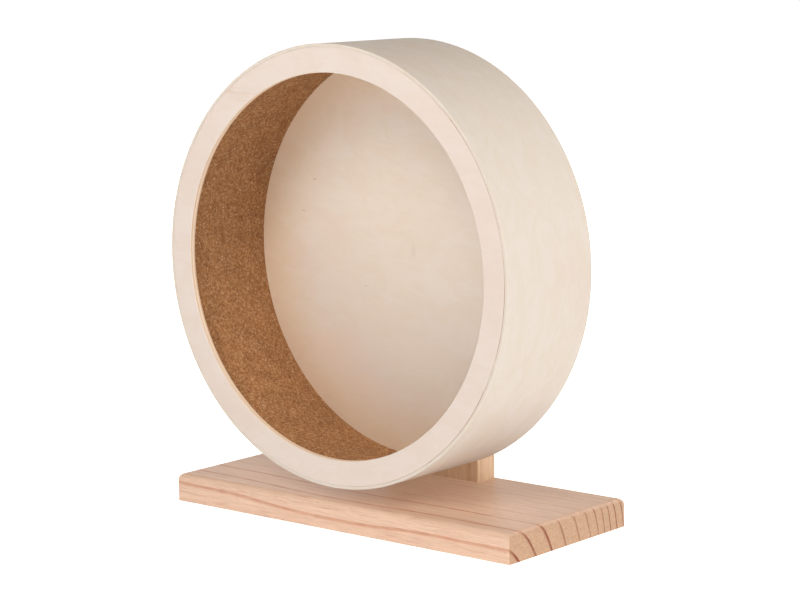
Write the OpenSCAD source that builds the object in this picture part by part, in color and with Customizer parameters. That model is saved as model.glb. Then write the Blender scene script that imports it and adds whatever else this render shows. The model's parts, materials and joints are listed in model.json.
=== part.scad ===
// Free-standing exercise wheel for small rodents: a cork-lined plywood drum that turns on
// two ball bearings in an upright pine board. Millimetres, +Z up, the wheel opens towards -Y.
// The origin is the centre of the base board's underside.

/* [Drum] */
// Outside diameter of the drum
wheel_d = 280; // [200:1:330]
// Depth of the drum from its front edge to its back edge
wheel_depth = 85; // [60:1:120]
// Thickness of the bent plywood hoop
hoop_t = 2; // [1.5:0.1:4]
// Thickness of the cork running surface
cork_t = 4.5; // [2:0.1:6]
// Width of the flat front ring, measured along the radius inside the hoop
ring_w = 16; // [8:0.5:30]
// Thickness of the flat front ring
ring_t = 4; // [3:0.1:8]
// Thickness of the closed back disc
disc_t = 3; // [2:0.1:6]
// Bevel on the edges of the plywood parts
ply_ease = 0.4; // [0.2:0.05:0.7]
// Width of the joint line where the ends of a bent strip meet
seam_w = 0.5; // [0.2:0.1:1]

/* [Hub] */
// Diameter of the plywood block glued behind the back disc
boss_d = 90; // [50:1:120]
// Thickness of that block
boss_t = 9; // [8:0.5:14]
// Diameter of the large washer behind the block
hub_washer_d = 24; // [20:0.5:36]
// Thickness of the large washer
hub_washer_t = 2; // [1:0.1:3]
// Thickness of the spacer ring on either side of the bearings
spacer_t = 2; // [1:0.1:4]

/* [Axle] */
// Diameter of the axle bolt
axle_d = 8; // [6:0.5:9]
// Width across the flats of the bolt head and of the lock nut
hex_flats = 13; // [12.5:0.1:15]
// Height of the bolt head
head_h = 5.3; // [3:0.1:6]
// Diameter of the small washer under the lock nut
nut_washer_d = 16; // [15:0.5:20]
// Thickness of the small washer
nut_washer_t = 1.6; // [1:0.1:2.5]
// Full height of the lock nut with its collar
nut_h = 8; // [7:0.1:10]
// Height of the collar that holds the nylon ring
collar_h = 1.9; // [1.6:0.1:3]
// Length of bolt that stands out behind the lock nut
bolt_stick_out = 2.7; // [1:0.1:6]

/* [Bearings] */
// Outside diameter of each ball bearing
bearing_d = 22; // [21:0.5:26]
// Width of each ball bearing
bearing_w = 7; // [6:0.1:8]
// Diameter of each ball
ball_d = 3.97; // [3.4:0.01:4.2]
// Number of balls in each bearing
ball_count = 7; // [5:1:7]
// Depth of the ball groove below each race's land
groove_depth = 0.5; // [0.3:0.05:0.8]
// Width of the ribbon that the cages are pressed from
cage_w = 1.8; // [1.4:0.1:1.9]
// Thickness of the pressed sheet in the cages and shields
sheet_t = 0.3; // [0.2:0.05:0.4]

/* [Stand] */
// Length of the base board
base_l = 280; // [200:1:360]
// Thickness of the base board
base_t = 18.5; // [15:0.5:25]
// Radius of the rounding along the base board's top edges
base_round = 4; // [2:0.5:8]
// How far the base board reaches in front of the drum
front_ledge = 0; // [0:1:30]
// How far the base board reaches behind the post
back_ledge = 4; // [4:1:40]
// Space between the drum and the base board
under_gap = 9.5; // [4:0.5:30]
// Width of the upright post
post_w = 78; // [60:1:120]
// Thickness of the upright post
post_t = 18; // [17:0.5:28]
// How far the post reaches above the axle
post_rise = 42; // [20:1:80]
// Radius of the rounding along the post's edges
post_round = 2; // [1:0.5:4]

/* [Screws] */
// Diameter of the wood screws that hold the post
screw_d = 4.5; // [3:0.1:6]
// Diameter of the countersunk screw head
screw_head_d = 9; // [8:0.1:11]
// Full length of each screw
screw_l = 50; // [35:1:70]
// Distance between the two screws
screw_spacing = 44; // [20:1:50]
// Width across the flats of the socket in the screw head
socket_flats = 3; // [2:0.5:4]

/* [Clearances] */
// Gap around a shaft or ring that is pushed into its seat
push_fit = 0.02; // [0.01:0.01:0.05]
// Gap between a ball and its groove
ball_play = 0.03; // [0.02:0.01:0.08]
// Gap between a cage pocket and its ball
pocket_play = 0.1; // [0.05:0.01:0.15]
// Gap between bearing parts that pass each other
side_gap = 0.3; // [0.2:0.05:0.4]
// Gap around the bolt head in its pocket
pocket_gap = 0.15; // [0.05:0.05:0.4]
// Gap around a wood screw in its countersink and in the post
screw_gap = 0.05; // [0.03:0.01:0.1]
// Gap around a wood screw's shank where it passes through the base board
clearance_gap = 0.25; // [0.1:0.05:0.5]

/* [Hidden] */
$fn = 96;
// A cut reaches this far past the face that it opens
past = 1;

// Radii of the drum, from outside to inside
wheel_r = wheel_d / 2;
hoop_in_r = wheel_r - hoop_t;
cork_in_r = hoop_in_r - cork_t;
ring_in_r = hoop_in_r - ring_w;
// Angles of the joint lines, turned from +X towards +Z
hoop_seam_angle = 260;
cork_seam_angle = 20;

// Places along the axle, from the drum's front edge backwards
disc_front = wheel_depth - disc_t;
boss_back = wheel_depth + boss_t;
hub_stack = hub_washer_t + spacer_t;
post_front = boss_back + hub_stack;
post_back = post_front + post_t;
head_front = wheel_depth;
nut_front = post_back + spacer_t + nut_washer_t;
bolt_end = nut_front + nut_h + bolt_stick_out;

// Places of the whole wheel on the stand
base_d = front_ledge + post_back + back_ledge;
drum_front_y = front_ledge - base_d / 2;
axle_z = base_t + under_gap + wheel_r;
post_h = under_gap + wheel_r + post_rise;
post_mid_y = drum_front_y + post_front + post_t / 2;

// Bearing sizes, measured from the bearing's axis
axle_r = axle_d / 2;
bearing_bore_r = axle_r + push_fit;
bearing_r = bearing_d / 2;
pitch_r = (bearing_bore_r + bearing_r) / 2;
ball_r = ball_d / 2;
groove_r = ball_r + ball_play;
inner_land_r = pitch_r - groove_r + groove_depth;
outer_land_r = pitch_r + groove_r - groove_depth;
shield_step_r = outer_land_r + 2 * sheet_t;
shield_in_r = inner_land_r + side_gap;
spacer_r = inner_land_r - push_fit;
pocket_r = ball_r + pocket_play;
second_bearing = post_t - bearing_w;

// Screw sizes
screw_r = screw_d / 2;
screw_head_r = screw_head_d / 2;
screw_head_h = screw_head_r - screw_r;
screw_sink = 0.3;
socket_depth = 0.8 * screw_head_h;

// Distance from the middle of a hexagon to its corners
function hex_r(flats) = flats / sqrt(3);

// Points of an arc, in degrees
function arc(cx, cy, r, from, to, steps = 10) =
    [for (i = [0 : steps]) let (a = from + (to - from) * i / steps) [cx + r * cos(a), cy + r * sin(a)]];

// Section of a round band with beveled corners: inner low, outer low, outer high, inner high
function band(r_in, r_out, low, high, ease) = concat(
    ease[0] > 0 ? [[r_in, low + ease[0]], [r_in + ease[0], low]] : [[r_in, low]],
    ease[1] > 0 ? [[r_out - ease[1], low], [r_out, low + ease[1]]] : [[r_out, low]],
    ease[2] > 0 ? [[r_out, high - ease[2]], [r_out - ease[2], high]] : [[r_out, high]],
    ease[3] > 0 ? [[r_in + ease[3], high], [r_in, high - ease[3]]] : [[r_in, high]]);

// Moves a part made along +Z onto the axle line, its foot at a distance behind the drum's front edge
module on_axle(depth) {
    translate([0, drum_front_y + depth, axle_z]) rotate([-90, 0, 0]) children();
}

module turned(points) {
    rotate_extrude() polygon(points);
}

module washer(r_in, r_out, t, ease) {
    turned(band(r_in, r_out, 0, t, [0, ease, ease, 0]));
}

// Board cross-section w wide and h high, with its two top corners rounded
module round_top(w, h, r) {
    polygon(concat([[-w / 2, 0], [w / 2, 0]],
        arc(w / 2 - r, h - r, r, 0, 90), arc(r - w / 2, h - r, r, 90, 180)));
}

// Board section with all four corners rounded
module round_section(w, t, r) {
    polygon(concat(
        arc(w / 2 - r, t / 2 - r, r, 0, 90), arc(r - w / 2, t / 2 - r, r, 90, 180),
        arc(r - w / 2, r - t / 2, r, 180, 270), arc(w / 2 - r, r - t / 2, r, 270, 360)));
}

// Board of pine with rounded top edges, its underside on the floor
module round_topped_board(l, d, t, r) {
    intersection() {
        translate([0, d / 2, 0]) rotate([90, 0, 0]) linear_extrude(d) round_top(l, t, r);
        translate([-l / 2, 0, 0]) rotate([90, 0, 90]) linear_extrude(l) round_top(d, t, r);
    }
}

module at_screws() {
    for (side = [-1, 1]) translate([side * screw_spacing / 2, post_mid_y, screw_sink]) children();
}

// Solid of a screw. As a cutter it is grown by one gap at the head and another along the shank
module screw_shape(head_gap, shank_gap) {
    shank_l = screw_l - screw_head_h - screw_d;
    cylinder(h = screw_head_h, r1 = screw_head_r + head_gap, r2 = screw_r + head_gap);
    translate([0, 0, screw_head_h]) cylinder(h = shank_l, r = screw_r + shank_gap);
    translate([0, 0, screw_l - screw_d])
        cylinder(h = screw_d, r1 = screw_r + shank_gap, r2 = screw_r / 4 + shank_gap);
}

module screw_cutter(shank_gap) {
    screw_shape(screw_gap, shank_gap);
    translate([0, 0, -screw_sink - past]) cylinder(h = screw_sink + past, r = screw_head_r + screw_gap);
}

module base_board() {
    color([0.88, 0.71, 0.58]) difference() {
        round_topped_board(base_l, base_d, base_t, base_round);
        at_screws() screw_cutter(clearance_gap);
    }
}

module upright_post() {
    color([0.90, 0.74, 0.60]) difference() {
        translate([0, post_mid_y, base_t]) intersection() {
            linear_extrude(post_h) round_section(post_w, post_t, post_round);
            translate([0, post_t / 2, 0]) rotate([90, 0, 0])
                linear_extrude(post_t) round_top(post_w, post_h, post_round);
            translate([-post_w / 2, 0, 0]) rotate([90, 0, 90])
                linear_extrude(post_w) round_top(post_t, post_h, post_round);
        }
        on_axle(post_front - past) cylinder(h = post_t + 2 * past, r = outer_land_r);
        on_axle(post_front - past) cylinder(h = bearing_w + past, r = bearing_r + push_fit);
        on_axle(post_back - bearing_w) cylinder(h = bearing_w + past, r = bearing_r + push_fit);
        at_screws() screw_cutter(screw_gap);
    }
}

module post_screws() {
    color([0.72, 0.72, 0.70]) at_screws() difference() {
        screw_shape(0, 0);
        translate([0, 0, -past]) cylinder(h = socket_depth + past, r = hex_r(socket_flats), $fn = 6);
    }
}

// Outer race: a grooved ring with a step at each end for its shield
module outer_race() {
    step_h = 3 * sheet_t;
    color([0.74, 0.75, 0.77]) difference() {
        turned(band(outer_land_r, bearing_r, 0, bearing_w, [0, side_gap, side_gap, 0]));
        translate([0, 0, -past]) cylinder(h = step_h + past, r = shield_step_r);
        translate([0, 0, bearing_w - step_h]) cylinder(h = step_h + past, r = shield_step_r);
        translate([0, 0, bearing_w / 2]) rotate_extrude() translate([pitch_r, 0]) circle(r = groove_r);
    }
}

module inner_race() {
    color([0.74, 0.75, 0.77]) difference() {
        turned(band(bearing_bore_r, inner_land_r, 0, bearing_w, [0, 0, 0, 0]));
        translate([0, 0, bearing_w / 2]) rotate_extrude() translate([pitch_r, 0]) circle(r = groove_r);
    }
}

module at_balls() {
    for (i = [0 : ball_count - 1]) rotate([0, 0, i * 360 / ball_count])
        translate([pitch_r, 0, bearing_w / 2]) children();
}

module balls() {
    color([0.80, 0.81, 0.83]) at_balls() sphere(r = ball_r);
}

// Cage: a flat ribbon bent into a round pocket over each ball
module cage() {
    ribbon_top = bearing_w / 2 - sheet_t;
    color([0.70, 0.66, 0.58]) difference() {
        union() {
            translate([0, 0, ribbon_top]) turned(band(pitch_r - cage_w / 2, pitch_r + cage_w / 2,
                0, 2 * sheet_t, [0, 0, 0, 0]));
            at_balls() across(cage_w, pocket_r + sheet_t);
        }
        at_balls() across(2 * cage_w, pocket_r);
    }
}

// Cylinder through a ball's centre, pointing away from the bearing's axis
module across(l, r) {
    rotate([0, 90, 0]) cylinder(h = l, r = r, center = true);
}

// Shield: a thin dished ring clipped into the outer race, its rim at the outer end
module shield() {
    lip = shield_step_r - 3 * sheet_t;
    color([0.66, 0.67, 0.69]) turned([
        [shield_in_r, sheet_t], [lip, sheet_t], [lip + sheet_t, sheet_t / 2],
        [shield_step_r - push_fit, sheet_t / 2], [shield_step_r - push_fit, 1.5 * sheet_t],
        [lip + sheet_t, 1.5 * sheet_t], [lip, 2 * sheet_t], [shield_in_r, 2 * sheet_t]]);
}

module shield_at(bearing_front, back_side) {
    on_axle(bearing_front + (back_side ? bearing_w : 0)) mirror([0, 0, back_side ? 1 : 0]) shield();
}

module hexagon(h, flats) {
    cylinder(h = h, r = hex_r(flats), $fn = 6);
}

// Hexagon with its corners turned away at one end, as on a bolt head or a nut
module turned_hexagon(h, flats) {
    corner = hex_r(flats);
    drop = 0.5 * (corner - flats / 2);
    intersection() {
        hexagon(h, flats);
        turned([[0, 0], [corner - drop, 0], [corner + past, drop + past], [corner + past, h + past], [0, h + past]]);
    }
}

module front_ring() {
    color([0.93, 0.87, 0.81]) on_axle(0)
        turned(band(ring_in_r, hoop_in_r, 0, ring_t, [ply_ease, ply_ease, 0, ply_ease]));
}

module running_hoop() {
    color([0.92, 0.86, 0.80]) on_axle(0) difference() {
        turned(band(hoop_in_r, wheel_r, 0, wheel_depth, [ply_ease, ply_ease, ply_ease, ply_ease]));
        rotate([0, 0, -hoop_seam_angle]) translate([wheel_r - hoop_t / 4, -seam_w / 2, -past])
            cube([hoop_t, seam_w, wheel_depth + 2 * past]);
    }
}

module cork_lining() {
    color([0.65, 0.46, 0.31]) on_axle(ring_t) difference() {
        turned(band(cork_in_r, hoop_in_r, 0, disc_front - ring_t, [0, 0, 0, 0]));
        rotate([0, 0, -cork_seam_angle]) translate([cork_in_r - past, -seam_w / 2, -past])
            cube([cork_t + 2 * past, seam_w, disc_front - ring_t + 2 * past]);
    }
}

module back_disc() {
    color([0.90, 0.83, 0.76]) on_axle(disc_front)
        turned([[0, 0], [hoop_in_r, 0], [hoop_in_r, disc_t - ply_ease], [hoop_in_r - ply_ease, disc_t], [0, disc_t]]);
}

module hub_boss() {
    pocket_depth = head_h + pocket_gap;
    color([0.86, 0.76, 0.63]) on_axle(wheel_depth) difference() {
        turned(band(axle_r + push_fit, boss_d / 2, 0, boss_t, [0, 0, 2 * ply_ease, 0]));
        translate([0, 0, -past]) hexagon(pocket_depth + past, hex_flats + 2 * pocket_gap);
    }
}

module axle_bolt() {
    tip = axle_d / 8;
    shank = bolt_end - head_front - head_h;
    color([0.75, 0.76, 0.78]) on_axle(head_front) {
        turned_hexagon(head_h, hex_flats);
        translate([0, 0, head_h - past])
            turned([[0, 0], [axle_r, 0], [axle_r, shank + past - tip], [axle_r - tip, shank + past], [0, shank + past]]);
    }
}

module hub_washer() {
    color([0.78, 0.79, 0.80]) on_axle(boss_back)
        washer(axle_r + push_fit, hub_washer_d / 2, hub_washer_t, side_gap);
}

module front_spacer() {
    color([0.78, 0.79, 0.80]) on_axle(boss_back + hub_washer_t)
        washer(axle_r + push_fit, spacer_r, spacer_t, side_gap);
}

module centre_sleeve() {
    color([0.78, 0.79, 0.80]) on_axle(post_front + bearing_w)
        washer(axle_r + push_fit, spacer_r, post_t - 2 * bearing_w, side_gap);
}

module rear_spacer() {
    color([0.78, 0.79, 0.80]) on_axle(post_back)
        washer(axle_r + push_fit, spacer_r, spacer_t, side_gap);
}

module nut_washer() {
    color([0.78, 0.79, 0.80]) on_axle(post_back + spacer_t)
        washer(axle_r + push_fit, nut_washer_d / 2, nut_washer_t, side_gap);
}

// Lock nut: a hexagon with a rounded collar that is turned in over the nylon ring
module axle_nut() {
    body_h = nut_h - collar_h;
    collar_r = hex_flats / 2 - side_gap;
    insert_r = axle_r + collar_h / 2;
    color([0.75, 0.76, 0.78]) on_axle(nut_front) difference() {
        union() {
            turned_hexagon(body_h, hex_flats);
            translate([0, 0, body_h - past])
                turned([[0, 0], [collar_r, 0], [collar_r, past + collar_h / 2],
                        [collar_r - collar_h / 2, past + collar_h], [0, past + collar_h]]);
        }
        translate([0, 0, -past]) cylinder(h = nut_h + 2 * past, r = axle_r + push_fit);
        translate([0, 0, body_h]) cylinder(h = collar_h - sheet_t, r = insert_r);
    }
}

module nut_insert() {
    color([0.16, 0.30, 0.62]) on_axle(nut_front + nut_h - collar_h)
        washer(axle_r + push_fit, axle_r + collar_h / 2, collar_h - sheet_t, 0);
}

base_board();
upright_post();
post_screws();
on_axle(post_front) outer_race();  // front_outer_race
on_axle(post_front + second_bearing) outer_race();  // rear_outer_race
shield_at(post_front, false);  // front_bearing_front_shield
shield_at(post_front, true);  // front_bearing_back_shield
shield_at(post_front + second_bearing, false);  // rear_bearing_front_shield
shield_at(post_front + second_bearing, true);  // rear_bearing_back_shield
front_ring();
running_hoop();
cork_lining();
back_disc();
hub_boss();
axle_bolt();
hub_washer();
front_spacer();
on_axle(post_front) inner_race();  // front_inner_race
centre_sleeve();
on_axle(post_front + second_bearing) inner_race();  // rear_inner_race
rear_spacer();
nut_washer();
axle_nut();
nut_insert();
on_axle(post_front) cage();  // front_bearing_cage
on_axle(post_front) balls();  // front_bearing_balls
on_axle(post_front + second_bearing) cage();  // rear_bearing_cage
on_axle(post_front + second_bearing) balls();  // rear_bearing_balls
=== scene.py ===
# %% [markdown]
# # A rodent exercise wheel on its stand
#
# The object is a cork-lined drum of pale plywood that turns on two ball bearings in an upright
# pine board, which stands on a pine base board. The CAD frame already has every piece at its
# real size and place. This lesson keeps the turned steel parts as they are, builds the wooden
# and cork pieces again with the small forms that a saw, a router and a glue joint leave, and
# gives every surface a finish made of nodes.
#
# The frame comes first, because every later measurement is read from it.

# %% Load the frame
import json
import math

import bmesh
import bpy
import numpy as np
from mathutils import Matrix, Vector


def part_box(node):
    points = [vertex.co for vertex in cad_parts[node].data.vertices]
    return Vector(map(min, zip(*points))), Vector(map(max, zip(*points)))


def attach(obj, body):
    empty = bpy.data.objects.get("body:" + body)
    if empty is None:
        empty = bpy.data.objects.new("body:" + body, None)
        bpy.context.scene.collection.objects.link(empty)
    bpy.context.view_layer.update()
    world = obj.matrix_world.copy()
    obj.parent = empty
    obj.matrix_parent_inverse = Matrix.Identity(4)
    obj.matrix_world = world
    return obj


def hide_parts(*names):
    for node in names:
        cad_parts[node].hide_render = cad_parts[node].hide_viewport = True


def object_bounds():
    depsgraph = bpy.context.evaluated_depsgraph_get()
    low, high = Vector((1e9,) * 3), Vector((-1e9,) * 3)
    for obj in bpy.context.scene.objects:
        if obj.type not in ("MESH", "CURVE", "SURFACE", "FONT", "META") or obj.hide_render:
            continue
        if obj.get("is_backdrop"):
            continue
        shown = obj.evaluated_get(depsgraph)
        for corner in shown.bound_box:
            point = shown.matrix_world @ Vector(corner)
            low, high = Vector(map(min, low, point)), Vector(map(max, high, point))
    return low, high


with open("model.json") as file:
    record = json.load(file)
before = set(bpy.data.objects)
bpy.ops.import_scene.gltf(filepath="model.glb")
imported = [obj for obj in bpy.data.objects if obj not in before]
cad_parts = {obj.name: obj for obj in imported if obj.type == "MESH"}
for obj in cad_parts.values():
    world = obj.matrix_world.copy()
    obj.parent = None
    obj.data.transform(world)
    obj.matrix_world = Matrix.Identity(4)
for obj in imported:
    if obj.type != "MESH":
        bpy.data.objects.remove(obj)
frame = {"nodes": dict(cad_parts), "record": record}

nodes = frame["nodes"]
cad_box = [list(corner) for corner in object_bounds()]
print("frame:", len(nodes), "nodes, box", cad_box)

# %% [markdown]
# ## Measurements
#
# A piece that replaces a CAD node has to sit exactly where the node sits. Typing the sizes in
# again would work until one of them changes, so the lesson reads each piece's box instead. All
# turned pieces share one axle line, parallel to Y, and the drum's open front faces -Y.

# %% Read the sizes
MM = 0.001


def reach(node, axis):
    """Lowest and highest place of a CAD node along one axis."""
    low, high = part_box(node)
    return low["XYZ".index(axis)], high["XYZ".index(axis)]


wheel_r = reach("running_hoop", "X")[1]
axle_z = sum(reach("running_hoop", "Z")) / 2
drum_front, drum_back = reach("running_hoop", "Y")
ring_back = reach("front_ring", "Y")[1]
disc_front = reach("back_disc", "Y")[0]
liner_r = reach("front_ring", "X")[1]
print("wheel radius", round(wheel_r, 4), "axle height", round(axle_z, 4),
      "inside the hoop", round(liner_r, 4))

# %% [markdown]
# ## Camera
#
# A product shot like this one is taken with a long lens from about a metre and a half, a little
# to the right of the drum and a little above its middle, so that the open front and the outside
# of the hoop both show. The place and the turns come from lining up the drum's circles and the
# base board's corners with their outlines in the picture. A long lens keeps the circles from
# looking stretched.

# %% Place the camera
CAMERA_AT = (0.98735, -1.15972, 0.37084)
YAW, PITCH, ROLL = 0.702, 0.150, -0.0139
LENS_MM, SENSOR_MM = 107.47, 36

scene = bpy.context.scene
camera_data = bpy.data.cameras.new("product_camera")
camera_data.lens = LENS_MM
camera_data.sensor_width = SENSOR_MM
camera = bpy.data.objects.new("product_camera", camera_data)
scene.collection.objects.link(camera)
camera.matrix_world = (
    Matrix.Translation(CAMERA_AT)
    @ Matrix.Rotation(YAW, 4, "Z")
    @ Matrix.Rotation(math.pi / 2 - PITCH, 4, "X")
    @ Matrix.Rotation(ROLL, 4, "Z")
)
scene.camera = camera
print("camera at", tuple(round(v, 3) for v in camera.location))

# %% [markdown]
# ## Light and floor
#
# The picture has no hard shadow. The front and the right side of the wood are bright and what
# faces up is darker, so the light comes from low soft panels that stand in a ring about three
# metres away, and back up from a white table. The panels in front reach through the ring onto
# the disc, those on the right light the outside of the hoop, and those at the left and behind
# show the sides that the picture leaves out. The table glows a little, as an acrylic light
# table does, and more where the panels don't reach. The base board under the wheel stays bright
# and warm in the picture, because a small white studio bounces light in there from all sides. A
# few lamps far away can't do that, so one warm panel overhead casts no shadow and stands in for
# it. The Standard view transform keeps the pale wood colours as they are set.

# %% Fill the room with light
scene.view_settings.view_transform = "Standard"
scene.view_settings.look = "None"

world = bpy.data.worlds.new("pale_room")
world.use_nodes = True
scene.world = world
sky = world.node_tree
direction = sky.nodes.new("ShaderNodeTexCoord")
height = sky.nodes.new("ShaderNodeSeparateXYZ")
sky.links.new(direction.outputs["Generated"], height.inputs[0])


def fade(tree, value, ends, strength):
    """Carries a value between two ends to a strength between two levels."""
    made = tree.nodes.new("ShaderNodeMapRange")
    for key, number in zip(("From Min", "From Max", "To Min", "To Max"), (*ends, *strength)):
        made.inputs[key].default_value = number
    tree.links.new(value, made.inputs["Value"])
    return made.outputs[0]


background = sky.nodes["Background"]
background.inputs["Color"].default_value = (1, 1, 1, 1)
white_horizon = fade(sky, height.outputs["Z"], (0.03, 0.15), (1.0, 0.05))
sky.links.new(white_horizon, background.inputs["Strength"])

PANEL_FAR, PANEL_WIDE, PANEL_HIGH = 3.2, 1.2, 1.4
FLOOR_GAP = 0.02


def softbox(name, azimuth, elevation, watts, colour=(1, 1, 1), shadow=True):
    """A panel that faces the wheel, in degrees round from the open front and up from the axle."""
    data = bpy.data.lights.new(name, "AREA")
    data.shape = "RECTANGLE"
    data.size, data.size_y = PANEL_WIDE, PANEL_HIGH
    data.color = colour
    data.energy = watts
    data.use_shadow = shadow
    lamp = bpy.data.objects.new(name, data)
    lamp.visible_camera = False
    scene.collection.objects.link(lamp)
    turn, up = math.radians(azimuth), math.radians(elevation)
    middle = Vector((0, 0, axle_z))
    level = Vector((math.sin(turn), -math.cos(turn), 0)) * math.cos(up)
    lamp.location = middle + PANEL_FAR * (level + Vector((0, 0, math.sin(up))))
    lamp.location.z = max(lamp.location.z, PANEL_HIGH / 2 + FLOOR_GAP)
    lamp.rotation_euler = (middle - lamp.location).to_track_quat("-Z", "Y").to_euler()


softbox("panel_front", -10, 9, 12)
softbox("panel_front_high", 18, 35, 45)
softbox("panel_right_high", 75, 32, 5)
softbox("panel_right", 80, 9, 32)
softbox("panel_back_right", 112, 9, 19)
softbox("panel_back", 176, 9, 30)
softbox("panel_back_left", -138, 9, 6.5)
softbox("panel_left", -92, 9, 24)
softbox("panel_camera_side", 40, 9, 5)
softbox("panel_ceiling", 30, 75, 40, colour=(1, 0.93, 0.84), shadow=False)

# %% Lay the floor
FLOOR_R = 30
FLOOR_WHITE = (0.9, 0.9, 0.9, 1)

floor_mesh = bpy.data.meshes.new("floor")
floor_bm = bmesh.new()
bmesh.ops.create_circle(floor_bm, cap_ends=True, segments=96, radius=FLOOR_R)
floor_bm.to_mesh(floor_mesh)
floor_bm.free()
floor = bpy.data.objects.new("floor", floor_mesh)
scene.collection.objects.link(floor)
floor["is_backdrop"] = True
floor_paint = bpy.data.materials.new("light_table")
floor_paint.use_nodes = True
table = floor_paint.node_tree
floor_shader = table.nodes["Principled BSDF"]
floor_shader.inputs["Base Color"].default_value = FLOOR_WHITE
floor_shader.inputs["Roughness"].default_value = 0.9
floor_shader.inputs["Specular IOR Level"].default_value = 0
floor_shader.inputs["Emission Color"].default_value = (1, 1, 1, 1)
from_middle = table.nodes.new("ShaderNodeVectorMath")
from_middle.operation = "LENGTH"
table.links.new(table.nodes.new("ShaderNodeTexCoord").outputs["Object"], from_middle.inputs[0])
glow = fade(table, from_middle.outputs["Value"], (0.0, 1.6), (0.48, 1.0))
table.links.new(glow, floor_shader.inputs["Emission Strength"])
floor_mesh.materials.append(floor_paint)
print("floor radius", FLOOR_R, "m")

# %% [markdown]
# ## A short way to write node finishes
#
# Blender's materials are graphs, and a wood finish needs some thirty nodes. Making each by hand
# hides what matters, so one small class adds nodes by name and joins them. Its most useful
# method gives the piece's own coordinates in units of a feature's real size: a noise read
# through it has blotches of that many metres along each axis, and stretching one axis turns
# blotches into grain. The coordinates belong to the piece, so the pattern turns with the wheel.


# %% Define the finish class
class Finish:
    """One node material, and one method for each kind of node that the finishes use."""

    def __init__(self, name, specular=0.35, metallic=0.0):
        self.material = bpy.data.materials.new(name)
        self.material.use_nodes = True
        self.tree = self.material.node_tree
        self.shader = self.tree.nodes["Principled BSDF"]
        self.shader.inputs["Specular IOR Level"].default_value = specular
        self.shader.inputs["Metallic"].default_value = metallic

    def add(self, kind, inputs, **settings):
        """A new node. Each input is a number, a colour or another node's output."""
        made = self.tree.nodes.new("ShaderNode" + kind)
        for name, value in settings.items():
            setattr(made, name, value)
        for key, value in inputs.items():
            self.join(made.inputs[key], value)
        return made

    def join(self, socket, value):
        if isinstance(value, bpy.types.NodeSocket):
            self.tree.links.new(value, socket)
        elif isinstance(value, tuple) and len(value) == 3 and socket.type == "RGBA":
            socket.default_value = (*value, 1)
        else:
            socket.default_value = value

    def place(self, size=(1, 1, 1), turn=(0, 0, 0), centre=(0, 0, 0), source=None):
        """Coordinates from a centre, turned, in units of a feature's size in metres."""
        source = source or self.add("TexCoord", {}).outputs["Object"]
        return self.add(
            "Mapping",
            {"Vector": source, "Location": centre, "Rotation": turn, "Scale": size},
            vector_type="TEXTURE",
        ).outputs[0]

    def noise(self, where, detail=2.0, roughness=0.5, distortion=0.0):
        inputs = {"Vector": where, "Scale": 1.0, "Detail": detail, "Roughness": roughness,
                  "Distortion": distortion}
        return self.add("TexNoise", inputs).outputs["Fac"]

    def cells(self, where):
        return self.add("TexVoronoi", {"Vector": where, "Scale": 1.0})

    def math(self, operation, a, b=0.0):
        return self.add("Math", {0: a, 1: b}, operation=operation).outputs[0]

    def spread(self, value, low, high, to_low=0.0, to_high=1.0, smooth=False):
        """A value between low and high, carried to another range and held at its ends."""
        inputs = {"Value": value, "From Min": low, "From Max": high, "To Min": to_low,
                  "To Max": to_high}
        how = "SMOOTHSTEP" if smooth else "LINEAR"
        return self.add("MapRange", inputs, interpolation_type=how).outputs[0]

    def vary(self, noise, to_low, to_high):
        """A noise carried to a range. Most of a noise lies between 0.3 and 0.7."""
        return self.spread(noise, 0.3, 0.7, to_low, to_high)

    def product(self, a, b):
        return self.math("MULTIPLY", a, b)

    def total(self, a, b):
        return self.math("ADD", a, b)

    def distance(self, a, b):
        """How far a point is from a line, from its two coordinates across the line."""
        return self.math("SQRT", self.total(self.product(a, a), self.product(b, b)))

    def curve(self, value, points):
        """A value carried through a curve of (in, out) points between 0 and 1."""
        made = self.add("FloatCurve", {"Value": value})
        line = made.mapping.curves[0]
        for x, y in points[1:-1]:
            line.points.new(x, y)
        line.points[0].location = points[0]
        line.points[-1].location = points[-1]
        for point in line.points:
            point.handle_type = "AUTO_CLAMPED"
        made.mapping.update()
        return made.outputs[0]

    def blend(self, a, b, amount, how="MIX"):
        return self.add("Mix", {0: amount, 6: a, 7: b}, data_type="RGBA", blend_type=how).outputs[2]

    def times(self, colour, amount):
        return self.add("VectorMath", {0: colour, "Scale": amount}, operation="SCALE").outputs[0]

    def parts(self, vector):
        return self.add("SeparateXYZ", {0: vector}).outputs

    def joined(self, x, y, z=0.0):
        return self.add("CombineXYZ", {0: x, 1: y, 2: z}).outputs[0]

    def facing(self):
        """Which way the surface looks, in the piece's own axes."""
        return self.add("TexCoord", {}).outputs["Normal"]

    def relief(self, height, depth):
        """Bump in the shader's normal: height runs from 0 to 1 and depth is in metres."""
        bump = self.add("Bump", {"Height": height, "Distance": depth, "Strength": 1.0})
        self.join(self.shader.inputs["Normal"], bump.outputs[0])

    def paint(self, colour, roughness):
        self.join(self.shader.inputs["Base Color"], colour)
        self.join(self.shader.inputs["Roughness"], roughness)
        return self.material


print("finish class ready")

# %% [markdown]
# ## Meshes that are turned or swept
#
# The hoop, the ring, the cork, the disc and the hub block all come from a flat section carried
# round the axle. Real edges are never sharp: each corner of a section gets a short arc, with one
# more point just before and after it so that smooth shading stays flat on the flats.


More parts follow.
